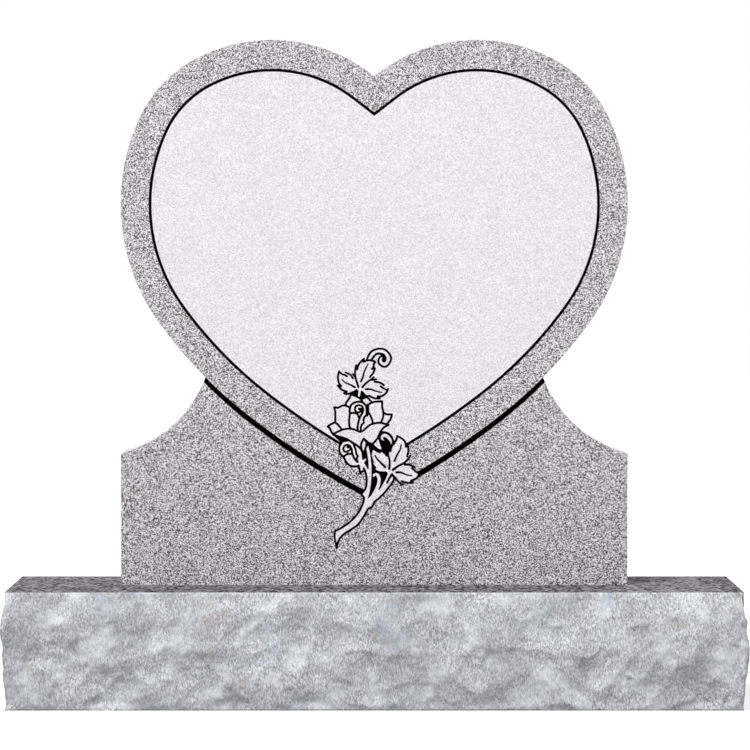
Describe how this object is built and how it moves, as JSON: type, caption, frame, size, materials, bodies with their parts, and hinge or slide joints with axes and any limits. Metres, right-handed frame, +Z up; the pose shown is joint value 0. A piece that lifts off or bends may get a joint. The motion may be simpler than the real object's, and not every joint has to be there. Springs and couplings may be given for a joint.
{
  "type": "heart-shaped headstone",
  "caption": "Upright granite headstone with a heart-shaped top, a bare frosted heart panel and a carved rose, on a rock-pitched base.",
  "frame": {"origin": "middle of the underside of the base", "axes": "+X to the right along the base as seen from the carved face, +Y from the carved face to the back, +Z up"},
  "size_m": [0.926, 0.392, 0.834],
  "materials": {
    "tablet_granite": "polished grey granite with a frosted panel and rose and black painted lines",
    "base_granite": "rock-pitched sides and a polished top"
  },
  "bodies": {
    "root": {"tablet": "tablet_granite", "base": "base_granite"}
  },
  "joints": []
}
